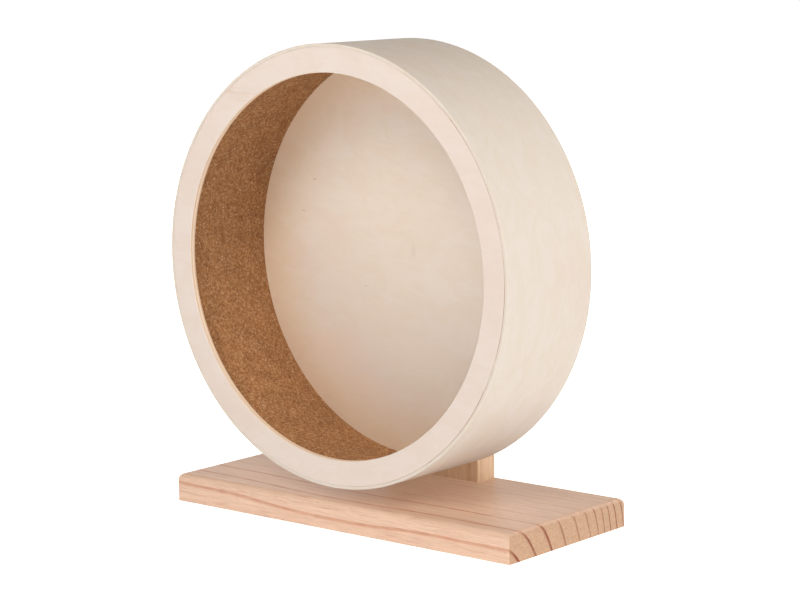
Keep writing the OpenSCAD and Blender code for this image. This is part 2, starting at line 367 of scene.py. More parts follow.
# %% Ease the corners of a section
def eased(corners, radii, steps=4):
    """A section's corners, each rounded by its own radius."""
    corners = [np.array(c, float) for c in corners]
    points = []
    for i, (corner, radius) in enumerate(zip(corners, radii)):
        if radius == 0:
            points.append(corner)
            continue
        back = corners[i - 1] - corner
        on = corners[(i + 1) % len(corners)] - corner
        back, on = back / np.linalg.norm(back), on / np.linalg.norm(on)
        start, end = corner + radius * back, corner + radius * on
        points.append(start + 0.2 * radius * back)
        for step in range(steps + 1):
            turn = math.pi / 2 * step / steps
            away, towards = (end - corner) * (1 - math.cos(turn)), (corner - start) * math.sin(turn)
            points.append(start + away + towards)
        points.append(end + 0.2 * radius * on)
    return np.array(points)


print("corner helper ready")

# %% [markdown]
# A lathe modifier could carry the section round, but a few lines of array arithmetic also allow
# uneven steps and a nudge at any point, which the glue seams and the cork's relief need.

# %% Carry a section round the axle
FULL_TURN = 2 * math.pi
even_angles = np.linspace(0, FULL_TURN, 360, endpoint=False)


def swept(section, angles, closed=True, nudge=None):
    """Points and faces of a section (radius, place along Y) carried round the axle line.
    Angles run from +X towards +Z. nudge adds to the radius at each (angle, point)."""
    section, angles = np.asarray(section, float), np.asarray(angles, float)
    radius = np.tile(section[:, 0], (len(angles), 1))
    if nudge is not None:
        radius = radius + nudge
    x = radius * np.cos(angles)[:, None]
    z = axle_z + radius * np.sin(angles)[:, None]
    y = np.tile(section[:, 1], (len(angles), 1))
    points = np.stack([x, y, z], -1).reshape(-1, 3)
    count, rounds = len(section), len(angles)
    i, j = np.meshgrid(np.arange(rounds if closed else rounds - 1), np.arange(count), indexing="ij")
    nxt_i, nxt_j = (i + 1) % rounds, (j + 1) % count
    here, there = i * count, nxt_i * count
    faces = np.stack([here + j, there + j, there + nxt_j, here + nxt_j], -1)
    faces = faces.reshape(-1, 4).tolist()
    if not closed:
        faces += [list(range(count)), list(range((rounds - 1) * count, rounds * count))]
    return points, faces


print("even steps round the axle:", len(even_angles))

# %% [markdown]
# Points and faces become an object here. Edges that turn by more than a set angle stay crisp,
# and the rest is shaded smooth. Holes and pockets are cut with an exact boolean, whose result is
# kept as plain mesh, because a finished piece should need no hidden tool.

# %% Make and cut objects
SHARP = 35


def mesh_object(name, points, faces, sharp=SHARP):
    """An object from points and faces: doubles merged, faces turned outwards, edges over sharp
    degrees kept crisp."""
    mesh = bpy.data.meshes.new(name)
    mesh.from_pydata([tuple(p) for p in points], [], faces)
    shape = bmesh.new()
    shape.from_mesh(mesh)
    bmesh.ops.remove_doubles(shape, verts=shape.verts, dist=1e-7)
    bmesh.ops.recalc_face_normals(shape, faces=shape.faces)
    shape.to_mesh(mesh)
    shape.free()
    mesh.shade_smooth()
    mesh.set_sharp_from_angle(angle=math.radians(sharp))
    made = bpy.data.objects.new(name, mesh)
    scene.collection.objects.link(made)
    return made


def carve(piece, tools, how="DIFFERENCE"):
    """Cuts the tools out of a piece, or joins them to it, and removes the tools."""
    for tool in tools:
        cut = piece.modifiers.new("carve", "BOOLEAN")
        cut.operation, cut.object, cut.solver = how, tool, "EXACT"
    bpy.context.view_layer.update()
    done = piece.evaluated_get(bpy.context.evaluated_depsgraph_get())
    mesh = bpy.data.meshes.new_from_object(done)
    mesh.name = piece.name
    piece.modifiers.clear()
    piece.data = mesh
    for tool in tools:
        bpy.data.objects.remove(tool)
    mesh.shade_smooth()
    mesh.set_sharp_from_angle(angle=math.radians(SHARP))
    return piece


print("edges over", SHARP, "degrees stay crisp")

# %% [markdown]
# Each finished piece takes the place of a plain node of the frame and moves with that node's
# body, so the last step is the same for all of them and has a function of its own.


# %% Put a piece in its node's place
def settle(piece, node, body, finish):
    """The last step of every piece: its finish, the node it stands for and its body."""
    piece.data.materials.clear()
    piece.data.materials.append(finish)
    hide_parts(node)
    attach(piece, body)
    low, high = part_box(node)
    size = [round((high[i] - low[i]) / MM, 1) for i in range(3)]
    print(piece.name, "for", node, size, "mm,", len(piece.data.vertices), "points")


print("piece helper ready")

# %% [markdown]
# ## The sawn edge of plywood
#
# The drum, its ring and the hub block are plywood. Where a sawn edge shows, it has layers: the
# grain turns by a quarter in each next sheet, so on a round edge a layer is pale where its
# fibres run along the edge and tan where they end in it, and a thin glue line parts it from the
# next. Strips of plain colour would look printed, so the layers are found from the place along
# Y, and how far a fibre ends in the edge from the angle round the axle.


# %% Colour a sawn edge
def tinted(colour, tint):
    return tuple(c * k for c, k in zip(colour, tint))


def sawn_edge(f, face_colour, pale, start, sheet):
    """Colour of sawn plywood from the place along Y: sheets of one thickness from a start."""
    x, y, z = f.parts(f.place(centre=(0, start, axle_z)))
    number = f.math("DIVIDE", y, sheet)
    odd = f.math("MODULO", f.math("FLOOR", f.total(number, 64.0)), 2.0)
    radius = f.distance(x, z)
    side = f.math("ABSOLUTE", f.math("DIVIDE", x, radius))
    other = f.math("ABSOLUTE", f.math("DIVIDE", z, radius))
    even = f.math("SUBTRACT", 1.0, odd)
    fibre_ends = f.total(f.product(side, even), f.product(other, odd))
    side_grain, end_grain = tinted(pale, (1.34, 1.28, 1.14)), tinted(pale, (1.10, 0.93, 0.72))
    edge = f.blend(side_grain, end_grain, f.spread(fibre_ends, 0.35, 0.95))
    pores = f.noise(f.place(size=(0.0005, 0.0003, 0.0005)), detail=1.0)
    edge = f.times(edge, f.vary(pores, 0.92, 1.06))
    glue_line = f.math("ABSOLUTE", f.math("SUBTRACT", f.math("FRACT", number), 0.5))
    edge = f.times(edge, f.spread(glue_line, 0.43, 0.5, 1.0, 0.78))
    flat = f.math("ABSOLUTE", f.parts(f.facing())[1])
    return f.blend(edge, face_colour, f.spread(flat, 0.35, 0.80))


print("sawn edge ready")

# %% [markdown]
# ## Pale plywood
#
# The face of the plywood is pale, even wood. From a metre away it is almost plain: what tells it
# from painted board is a faint pink and straw mottling some centimetres long, hair-fine grain
# lines, and a few brown flecks. All of it is low in contrast, so several weak noises, each with
# its own size along and across the grain, do better than one strong one. Single marks that catch
# the eye, such as the reddish mineral streaks at the upper left of the ring and the filled pilot
# hole in the middle of the disc, are soft ovals at their own places.

# %% Define the plywood finish
PALE, STRAW = (0.538, 0.476, 0.417), (0.528, 0.453, 0.378)
FLECK_BROWN = (0.34, 0.20, 0.12)
# The first tint is painted light: warm light that the cork bounces onto the disc. GLUE_BROWN is the
# brown of glue.
PAINTED_CORK_BOUNCE, GLUE_BROWN = (1.12, 1.00, 0.85), (0.62, 0.48, 0.38)


def plywood(name, pale, straw, grain, layers=None, around=None, marks=(), painted_bounce=None, rim=None):
    """Pale plywood. grain is the face grain's angle from X about Y, layers the sheets' (start,
    thickness) along Y for a sawn edge, and around the angle of the seam of a bent strip, whose
    grain follows the hoop. Each mark is (x, z, half length, half width, colour, strength, width
    of its lines or 0 for a plain spot). painted_bounce gives the radii between which a painted
    warm tint stands in for light that the cork bounces onto the front face, and rim the radius
    outside which glue tints it."""
    f = Finish(name, specular=0.3)
    centre = (0, 0, axle_z)
    if around is None:
        spots = f.place(turn=(0, -grain, 0), centre=centre)
    else:
        x, y, z = f.parts(f.place(turn=(0, math.pi - around, 0), centre=centre))
        length = f.product(f.math("ARCTAN2", z, x), wheel_r)
        spots = f.joined(length, f.math("SUBTRACT", f.distance(x, z), wheel_r), y)

    def at(along, across):
        return f.place(size=(along, across, across), source=spots)

    mottle = f.noise(at(0.026, 0.013), detail=3.5, roughness=0.65, distortion=1.2)
    cloud = f.noise(at(0.08, 0.05), detail=1.5)
    hair = f.noise(at(0.012, 0.0007), detail=2.0, roughness=0.6)
    streak = f.noise(at(0.05, 0.003), detail=3.0, roughness=0.65, distortion=1.0)
    colour = f.blend(pale, straw, f.spread(mottle, 0.36, 0.66, smooth=True))
    rosy = tinted(pale, (0.985, 0.905, 0.890))
    colour = f.blend(colour, rosy, f.spread(cloud, 0.50, 0.72, 0.0, 0.35, smooth=True))
    tone = f.total(f.vary(hair, -0.010, 0.010), f.vary(streak, -0.008, 0.008))
    colour = f.times(colour, f.total(tone, 1.0))
    fleck = f.cells(at(0.034, 0.011))
    chosen = f.spread(f.parts(fleck.outputs["Color"])[0], 0.86, 0.88)
    dash = f.spread(fleck.outputs["Distance"], 0.02, 0.05, 0.4, 0.0)
    colour = f.blend(colour, FLECK_BROWN, f.product(chosen, dash))
    for x, z, long, wide, stain, strength, lines in marks:
        near = f.place(size=(long, 1, wide), turn=(0, -grain, 0), centre=(x, 0, z))
        off = f.add("VectorMath", {0: near}, operation="LENGTH").outputs["Value"]
        mask = f.spread(off, 0.35, 1.0, strength, 0.0, smooth=True)
        if lines:
            threads = f.noise(at(long, lines), detail=2.0, roughness=0.6)
            mask = f.product(mask, f.spread(threads, 0.45, 0.62))
        colour = f.blend(colour, stain, mask)
    if painted_bounce is not None or rim is not None:
        x, y, z = f.parts(f.place(centre=centre))
        from_axle = f.distance(x, z)
    # Painted light: a warm tint near the rim of the front face, in place of the light that the cork
    # bounces onto it.
    if painted_bounce is not None:
        front = f.spread(f.parts(f.facing())[1], -0.6, -0.2, 0.9, 0.0)
        painted_bounce_mask = f.product(f.spread(from_axle, painted_bounce[0], painted_bounce[1], smooth=True), front)
        colour = f.blend(colour, PAINTED_CORK_BOUNCE, painted_bounce_mask, how="MULTIPLY")
    if layers is not None:
        colour = sawn_edge(f, colour, pale, *layers)
    if rim is not None:
        outside = f.spread(from_axle, rim - 0.05 * MM, rim + 0.05 * MM)
        broken = f.spread(f.noise(f.place(size=(0.03,) * 3)), 0.38, 0.60, 0.35, 1.0)
        right = f.spread(x, 0.02, 0.10, 0.12, 1.0)
        glued = f.product(f.product(outside, broken), right)
        colour = f.blend(colour, GLUE_BROWN, glued, how="MULTIPLY")
    f.relief(f.total(f.product(hair, 0.7), f.product(streak, 0.4)), 0.00002)
    return f.paint(colour, f.vary(mottle, 0.55, 0.66))


print("plywood finish ready")

# %% [markdown]
# ## The running hoop
#
# The hoop is one strip of thin plywood, bent round and glued where its thinned ends lap. Its two
# edges are sanded by hand, so they catch the light as a fine bright line beside the front ring,
# and the lap joint stays as a shallow line across the strip. The section is a plain rectangle
# with eased corners, and the steps round the axle are closer at the joint, where the outside
# dips by a fraction of a millimetre.

# %% Bend the hoop
hoop_seam = math.radians(260)
edge_ease = 0.40 * MM
hoop_section = eased(
    [(liner_r, drum_front), (wheel_r, drum_front), (wheel_r, drum_back), (liner_r, drum_back)],
    [edge_ease / 2, edge_ease, edge_ease, edge_ease],
)
seam_depth, seam_half = 0.35 * MM, 0.45 * MM
seam_steps = np.linspace(-1.2, 1.2, 17) * MM / wheel_r
hoop_angles = np.sort(np.concatenate([
    hoop_seam + seam_steps,
    hoop_seam + np.linspace(0.012, FULL_TURN - 0.012, 480),
]))
seam_distance = np.abs((hoop_angles - hoop_seam + math.pi) % FULL_TURN - math.pi) * wheel_r
seam_dip = -seam_depth * np.clip(1 - seam_distance / seam_half, 0, 1)
outside = hoop_section[:, 0] > wheel_r - 0.6 * MM
hoop_dip = seam_dip[:, None] * outside
hoop = mesh_object("bent_hoop", *swept(hoop_section, hoop_angles, nudge=hoop_dip))
hoop_finish = plywood("hoop_veneer", PALE, STRAW, 0, around=hoop_seam)
settle(hoop, "running_hoop", "wheel", hoop_finish)

# %% [markdown]
# ## The front ring
#
# The ring keeps the cork and the animal in. It is sawn from three-sheet plywood and glued flush
# into the hoop. A hair-thin gap runs between them, and the glue that soaked into the ring's rim
# makes it a broken brown line, which shows on the right side only. The inner edge shows the
# three sheets as a tan band, with a rounded rim at the front and at the back.

# %% Saw the ring
RING_BAND = 16 * MM
joint_gap = 0.06 * MM
glue_reach = 0.35 * MM
ring_in_r, ring_out_r = liner_r - RING_BAND, liner_r - joint_gap
ring_corners = [
    (ring_in_r, drum_front), (ring_out_r, drum_front),
    (ring_out_r, ring_back), (ring_in_r, ring_back),
]
ring_section = eased(ring_corners, [0.55 * MM, 0.20 * MM, 0, 0.45 * MM])
ring = mesh_object("sawn_front_ring", *swept(ring_section, even_angles))
mineral_streaks = [
    (-72 * MM, 274.5 * MM, 26 * MM, 6 * MM, (0.500, 0.335, 0.265), 0.55, 1.3 * MM),
    (-112 * MM, 262 * MM, 30 * MM, 14 * MM, (0.550, 0.410, 0.345), 0.32, 3.0 * MM),
    (70 * MM, 64 * MM, 40 * MM, 12 * MM, (0.570, 0.450, 0.380), 0.28, 3.0 * MM),
]
ring_finish = plywood(
    "ring_plywood", (0.564, 0.484, 0.430), (0.553, 0.466, 0.403), math.radians(-6),
    layers=(drum_front, (ring_back - drum_front) / 3), marks=mineral_streaks,
    rim=liner_r - glue_reach,
)
settle(ring, "front_ring", "wheel", ring_finish)

# %% [markdown]
# ## The cork lining
#
# The running surface is pressed cork: granules about a millimetre across, glued into a sheet and
# sliced. The slice leaves each grain a little higher or lower than the next one. The relief is
# made in the mesh, because bump alone would leave the edge of the cork straight. Each point
# looks for the nearest of many scattered grain centres, which is the same rule that a cell
# texture follows. The strip's ends meet at a narrow butt joint.


# %% Press the cork
def grains(u, v, size, seed):
    """Height from 0 to 1 of scattered grains over a sheet: each has its own level and dips at
    its border."""
    draw = np.random.default_rng(seed)
    wide, high = int(u.max() / size) + 4, int(v.max() / size) + 4
    jitter = draw.random((wide, high, 3))
    col, row = (u / size).astype(int), (v / size).astype(int)
    first = np.full(u.shape, 9.0)
    second = np.full(u.shape, 9.0)
    level = np.zeros(u.shape)
    for dc in (-1, 0, 1):
        for dr in (-1, 0, 1):
            c, r = np.clip(col + dc, 0, wide - 1), np.clip(row + dr, 0, high - 1)
            grain = jitter[c, r]
            far = np.hypot(u / size - (c + grain[..., 0]), v / size - (r + grain[..., 1]))
            nearer = far < first
            second = np.where(nearer, first, np.minimum(second, far))
            level = np.where(nearer, grain[..., 2], level)
            first = np.where(nearer, far, first)
    return np.clip(0.35 + 0.65 * level, 0, 1) * np.clip((second - first) * 5, 0, 1)


CORK_THICK = 4.5 * MM
CORK_RELIEF = 0.16 * MM
cork_seam = math.radians(20)
cork_in_r = liner_r - CORK_THICK
half_slit = 0.25 * MM / cork_in_r
cork_angles = np.linspace(cork_seam + half_slit, cork_seam + FULL_TURN - half_slit, 1000)
cork_y = np.linspace(ring_back, disc_front, 95)
cork_section = np.concatenate([
    np.stack([np.full(len(cork_y), cork_in_r), cork_y], 1),
    [[liner_r, disc_front], [liner_r, ring_back]],
])
u, v = np.meshgrid((cork_angles - cork_angles[0]) * cork_in_r, cork_y - ring_back, indexing="ij")
level = 0.6 * grains(u, v, 1.9 * MM, 11) + 0.4 * grains(u, v, 1.1 * MM, 12)
cork_relief = np.zeros((len(cork_angles), len(cork_section)))
cork_relief[:, : len(cork_y)] = CORK_RELIEF * (1 - level)
cork_points, cork_faces = swept(cork_section, cork_angles, closed=False, nudge=cork_relief)
cork = mesh_object("pressed_cork", cork_points, cork_faces, sharp=60)
print("cork:", len(cork.data.vertices), "points")

# %% [markdown]
# Ground bark is never one brown. Two cell textures, at the size of a granule and at half of it,
# give each granule its own tone, and a few crumbs are pale or almost black.

# %% Colour the cork
GRANULE_BROWN, GRANULE_TAN = (0.282, 0.125, 0.050), (0.424, 0.223, 0.097)
PALE_CRUMB, BARK_SPECK, BINDER = (0.580, 0.380, 0.215), (0.104, 0.044, 0.021), (0.240, 0.104, 0.042)

f = Finish("cork_grains", specular=0.2)
big = f.cells(f.place(size=(0.0016,) * 3))
small = f.cells(f.place(size=(0.0008,) * 3))
tone = f.parts(big.outputs["Color"])
colour = f.blend(GRANULE_BROWN, GRANULE_TAN, tone[0])
draw = f.parts(small.outputs["Color"])
colour = f.blend(colour, PALE_CRUMB, f.spread(draw[1], 0.90, 0.97, 0.0, 0.8))
colour = f.blend(colour, BARK_SPECK, f.spread(draw[2], 0.88, 0.96, 0.0, 0.8))
colour = f.blend(colour, BINDER, f.spread(big.outputs["Distance"], 0.45, 0.75, 0.0, 0.5))
worn = f.noise(f.place(size=(0.012,) * 3), detail=4.0, roughness=0.6)
colour = f.times(colour, f.vary(worn, 0.88, 1.12))
fine = f.noise(f.place(size=(0.0004,) * 3), detail=2.0)
f.relief(f.total(f.product(tone[1], 0.6), f.product(fine, 0.6)), 0.00012)
settle(cork, "cork_lining", "wheel", f.paint(colour, f.vary(fine, 0.8, 0.95)))

# %% [markdown]
# ## The back disc
#
# The drum's back is a closed disc of the same plywood, glued inside the hoop's rear edge. The
# hub's bolt head sits just behind it, and the disc is a trace darker there. Near its rim the
# front face gets a painted warm tint, which stands in for the light that the cork bounces onto
# it. The disc is turned like the ring, with its rear edge eased so that the joint with the hoop
# shows as a line.

# %% Turn the disc
disc_r = liner_r - joint_gap
disc_section = eased(
    [(0, disc_front), (disc_r, disc_front), (disc_r, drum_back), (0, drum_back)],
    [0, 0, 0.35 * MM, 0],
)
disc = mesh_object("closed_back_disc", *swept(disc_section, even_angles))
FILLED_HOLE, BARK_FLECK, ROSY = (0.490, 0.400, 0.300), (0.360, 0.240, 0.160), (0.700, 0.540, 0.440)
disc_marks = [
    (0, axle_z + 2 * MM, 3.5 * MM, 6 * MM, FILLED_HOLE, 0.25, 0),
    (-85.5 * MM, 212.6 * MM, 2.4 * MM, 0.7 * MM, BARK_FLECK, 0.50, 0),
    (-96 * MM, 190.8 * MM, 2.6 * MM, 0.7 * MM, BARK_FLECK, 0.40, 0),
    (-66 * MM, 100 * MM, 34 * MM, 18 * MM, ROSY, 0.35, 0),
    (-40 * MM, 78 * MM, 30 * MM, 12 * MM, ROSY, 0.30, 0),
]
# The disc is the same plywood as the ring, but its colour is set lighter: painted light that makes
# up for the shade inside the drum.
disc_finish = plywood(
    "disc_plywood", (0.650, 0.566, 0.488), (0.638, 0.542, 0.447), math.radians(-8),
    layers=(disc_front, (drum_back - disc_front) / 3), marks=disc_marks,
    # painted warm bounce light from the cork, between these radii
    painted_bounce=(85 * MM, 133 * MM),
)
settle(disc, "back_disc", "wheel", disc_finish)

# %% [markdown]
# ## Pine
#
# Both boards of the stand are pine. A board is a straight cut through a tree, so the honest way
# to colour it is to build the tree: a distance from the pith line gives the year, the last part
# of every year is dense and brown, and then pale wood starts again at once. Cut along the trunk,
# those rings show as long lines, and cut across it, they show as arcs, with no more work. The
# pith line, the width of the years and how dark each of them is follow the arcs on the end of
# the base board. Two more things finish it: fibres many times longer than wide, and short dark
# resin ducts.


# %% Define the pine finish
TREE_R, RINGS = 0.16, 16
LONG_LINE, HONEY, RUST = (0.410, 0.165, 0.085), (0.600, 0.350, 0.232), (0.490, 0.215, 0.135)
RESIN, END_GRAIN = (0.315, 0.130, 0.080), (0.760, 0.712, 0.615)
LATE_WOOD = [(0, 0.35), (0.02, 0.02), (0.6, 0.04), (0.82, 0.12),
             (0.89, 0.65), (0.93, 1.0), (0.985, 1.0), (1, 0.7)]


def pine(name, pith, turn, years, darkness, bow=None, long_fade=(70, 95),
         pale=(0.592, 0.404, 0.292), dark=(0.25, 0.050, 0.016), rust=0.50):
    """Pine. pith is a point on the tree's middle line and turn brings the trunk to the local X
    axis. years gives (radius in mm, ring number / RINGS) and darkness (radius in mm, how brown
    the ring is). Between the radii of long_fade, in mm, the lines along the board grow faint,
    because the saw meets those rings flat."""
    f = Finish(name, specular=0.4)
    trunk = f.place(turn=turn, centre=pith)
    x, y, z = f.parts(trunk)

    def at(along, across):
        return f.place(size=(along, across, across), source=trunk)

    sway = f.noise(at(0.11, 0.05), detail=1.5)
    radius = f.total(f.distance(y, z), f.spread(sway, 0.2, 0.8, -0.0011, 0.0011))
    if bow is not None:
        share = f.spread(x, -0.15, 0.15)
        radius = f.total(radius, f.spread(f.curve(share, bow), 0, 1, -0.005, 0.005))
    out = f.math("DIVIDE", radius, TREE_R)
    age = f.product(f.curve(out, [(r * MM / TREE_R, n) for r, n in years]), RINGS)
    late = f.curve(f.math("FRACT", age), LATE_WOOD)
    brown = f.curve(out, [(r * MM / TREE_R, d) for r, d in darkness])
    towards = f.parts(f.place(turn=turn, source=f.facing()))
    cross_cut = f.spread(f.math("ABSOLUTE", towards[0]), 0.5, 0.95, smooth=True)

    fibre = f.noise(at(0.018, 0.0007), detail=3.0, roughness=0.65)
    thread = f.noise(at(0.007, 0.0004), detail=2.0, roughness=0.6)
    broad = f.noise(at(0.12, 0.012), detail=2.5)
    grain = f.noise(at(0.08, 0.0022), detail=3.0, roughness=0.65, distortion=0.3)
    near, far = (edge * MM / TREE_R for edge in long_fade)
    along = f.spread(out, near, far, 0.85, 0.30)
    strong = f.total(f.product(cross_cut, f.math("SUBTRACT", 1.05, along)), along)
    uneven = f.noise(f.place(size=(0.012,) * 3), detail=2.0, roughness=0.6)
    amount = f.product(f.product(late, brown), strong)
    amount = f.product(amount, f.vary(uneven, 0.65, 1.15))
    colour = f.blend(pale, f.blend(LONG_LINE, dark, cross_cut), amount)
    colour = f.blend(colour, HONEY, f.spread(broad, 0.42, 0.7, 0.0, 0.16, smooth=True))
    rusty = f.product(f.spread(fibre, 0.50, 0.64), f.spread(grain, 0.42, 0.60))
    colour = f.blend(colour, RUST, f.product(rusty, rust))
    tone = f.total(f.vary(fibre, 0.08, -0.08), f.vary(thread, 0.085, -0.085))
    tone = f.total(tone, f.vary(grain, 0.05, -0.05))
    colour = f.times(colour, f.total(tone, 1.0))
    duct = f.cells(at(0.014, 0.0030))
    chosen = f.spread(f.parts(duct.outputs["Color"])[0], 0.72, 0.74)
    dash = f.spread(duct.outputs["Distance"], 0.08, 0.16, 0.45, 0.0)
    colour = f.blend(colour, RESIN, f.product(chosen, dash))

    pores = f.noise(f.place(size=(0.0006,) * 3), detail=1.0)
    rays = f.noise(f.place(turn=turn, centre=pith, size=(0.0012,) * 3), detail=2.0, roughness=0.6)
    ends = f.times(f.blend(colour, END_GRAIN, 1.0, how="MULTIPLY"), f.vary(pores, 0.92, 1.06))
    ends = f.times(ends, f.vary(rays, 0.92, 1.08))
    colour = f.blend(colour, ends, cross_cut)
    height = f.total(f.product(fibre, 0.6), f.product(late, 0.5))
    f.relief(f.total(height, f.product(thread, 0.3)), 0.00006)
    return f.paint(colour, f.spread(cross_cut, 0, 1, 0.44, 0.75))


print("pine finish ready")

# %% [markdown]
# A planed board is a box whose edges a router and sandpaper have touched. It is built as a stack
# of outlines, each one drawn in a little where the cutter has been, and a skin joins them.


# %% Define the boards
def skin(loops, count):
    """Faces between loops of count points each, with both ends closed."""
    faces = []
    for i in range(loops - 1):
        for j in range(count):
            k, up = (j + 1) % count, (i + 1) * count
            faces.append([i * count + j, i * count + k, up + k, up + j])
    return faces + [list(range(count)), list(range((loops - 1) * count, loops * count))]


def rounded_outline(half_x, half_y, radius, steps=5):
    """Points of a rectangle with rounded corners, round its middle."""
    corners = [(1, 1, 0), (-1, 1, 90), (-1, -1, 180), (1, -1, 270)]
    return np.array([
        (sx * (half_x - radius) + radius * math.cos(math.radians(start + 90 * k / steps)),
         sy * (half_y - radius) + radius * math.sin(math.radians(start + 90 * k / steps)))
        for sx, sy, start in corners for k in range(steps + 1)
    ])


def board(name, node, top_round, corner, steps=8):
    """A board the size of a CAD node's box: rounded along its top edges, its upright edges
    eased, its foot sharp."""
    low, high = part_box(node)
    half = (high - low) / 2
    mid = (high + low) / 2
    turns = [math.pi / 2 * k / steps for k in range(steps + 1)]
    levels = [(0, low.z), (0, high.z - 1.2 * top_round)]
    for t in turns:
        levels.append((top_round * (1 - math.cos(t)), high.z - top_round * (1 - math.sin(t))))
    levels += [(1.2 * top_round, high.z)]
    loops = []
    for inset, level_z in levels:
        outline = rounded_outline(half.x - inset, half.y - inset, corner)
        loops.append(np.column_stack([outline + (mid.x, mid.y), np.full(len(outline), level_z)]))
    return mesh_object(name, np.concatenate(loops), skin(len(loops), len(loops[0])))


print("boards ready")

# %% [markdown]
# ## Screws
#
# Two countersunk wood screws come up through the base board into the post. The frame has them
# with plain shanks. A thread is one ridge wound round a rod, so in a mesh of rings it is a
# radius that depends on height and angle together: where height divided by pitch, less the
# share of the turn, passes a whole number, the crest is there. The same few lines cut the
# thread on the axle bolt.


# %% Define threads and cutters
def spot(x, y, z):
    return Matrix.Translation((x, y, z))


def rod(name, heights, radius_at, matrix, turns=48):
    """A rod along local Z from a radius for each height and angle, closed at both ends."""
    h, a = np.meshgrid(heights, np.linspace(0, FULL_TURN, turns, endpoint=False), indexing="ij")
    r = radius_at(h, a / FULL_TURN)
    local = np.stack([r * np.cos(a), r * np.sin(a), h], -1).reshape(-1, 3)
    points = local @ np.array(matrix.to_3x3()).T + np.array(matrix.translation)
    return mesh_object(name, points, skin(len(heights), turns))


def prism(name, sides, flats, low, high, matrix):
    """A prism with a regular outline, for sockets and bolt heads."""
    corner = flats / 2 / math.cos(math.pi / sides)
    return rod(name, [low, high], lambda h, a: np.full(h.shape, corner), matrix, turns=sides)


def crest(h, turn, pitch, flat=0.15):
    """1 on a thread's crest and 0 in its root, for a right-hand thread."""
    place = (h / pitch - turn) % 1.0
    return np.clip((1 - np.abs(2 * place - 1) - flat / 2) / (1 - flat), 0, 1)


print("threads and cutters ready")

# %% Thread the wood screws
screw_low, screw_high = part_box("post_screws")
screw_head_r = (screw_high.y - screw_low.y) / 2
screw_x = screw_high.x - screw_head_r
screw_y = (screw_low.y + screw_high.y) / 2
screw_l = screw_high.z - screw_low.z
screw_r, screw_pitch = 2.25 * MM, 2.2 * MM
screw_neck, screw_tip = 14 * MM, screw_l - 6 * MM
head_h = screw_head_r - screw_r


def screw_radius(h, turn):
    """Countersunk head, plain neck, threaded shank and a point."""
    body = np.interp(
        h,
        [0, head_h, screw_neck, screw_neck + MM, screw_tip, screw_l],
        [screw_head_r, screw_r * 0.92, screw_r * 0.92, screw_r * 0.70, screw_r * 0.66, 0.1 * MM],
    )
    full = np.interp(h, [0, screw_neck, screw_neck + 2 * MM, screw_tip, screw_l], [0, 0, 1, 1, 0.2])
    ridge = full * crest(h, turn, screw_pitch, 0.05) * screw_r * 0.3
    return np.minimum(body + ridge, np.maximum(body, screw_r))


screws = []
shank_heights = np.concatenate([[0, 0.2 * MM, head_h], np.linspace(4 * MM, screw_l, 200)])
for side in (-1, 1):
    at_head = spot(side * screw_x, screw_y, screw_low.z)
    shank = rod("screw", shank_heights, screw_radius, at_head)
    screws.append(carve(shank, [prism("socket", 6, 3 * MM, -MM, 0.8 * head_h, at_head)]))
pair = carve(screws[0], [screws[1]], "UNION")
pair.name = "threaded_wood_screws"
print("screws:", len(pair.data.vertices), "points")

# %% [markdown]
# ## The base board
#
# The base is one wide pine board. Its top edges are rounded with a router, its upright corners
# are only sanded and its underside is sharp. Rounding a square corner from both sides leaves a
# fine ridge from the corner inwards. Each outline of the board is drawn in equally on all four
# sides, so the ridge comes by itself. The screw holes are cut from below.

# %% Cut the base board
base = board("pine_base_board", "base_board", 4 * MM, 0.8 * MM)


def screw_tool(side, gap):
    """The hole for one screw: a countersink and a shaft."""
    heights = [-MM, 0, head_h, 60 * MM]
    radii = [screw_head_r + gap, screw_head_r + gap, screw_r + gap, screw_r + gap]
    at_head = spot(side * screw_x, screw_y, screw_low.z)
    return rod("tool", heights, lambda h, a: np.interp(h, heights, radii), at_head)


carve(base, [screw_tool(side, 0.25 * MM) for side in (-1, 1)])
base_rings = [0, 28, 43.5, 57.8, 72.3, 86, 99.8, 110.6, 119, 125.8, 132.2, 138.8, 146]
base_years = [(r, n / RINGS) for n, r in enumerate(base_rings)] + [(160, 14 / RINGS)]
base_darkness = [(0, 0.8), (40, 0.85), (75, 0.9), (86, 0.55), (110, 0.5), (119, 0.85), (160, 1.0)]
trunk_bow = [(0, 0.12), (0.053, 0.15), (0.217, 0.27), (0.383, 0.50),
             (0.527, 0.55), (0.70, 0.40), (0.967, 0.50), (1, 0.50)]
base_pith = (0, -83 * MM, -28 * MM)
base_finish = pine("base_pine", base_pith, (0, 0, 0), base_years, base_darkness, trunk_bow)
settle(base, "base_board", "stand", base_finish)

# %% [markdown]
# ## The upright post
#
# The post is a pine board on end. Two seats for the bearings are bored into it, one from each
# face, with a smaller hole between them, and the mouths of the seats are chamfered. It was sawn
# from nearer the bark, and the trunk's line leans a little through it, so the rings come out
# on its wide faces as long pointed arches.

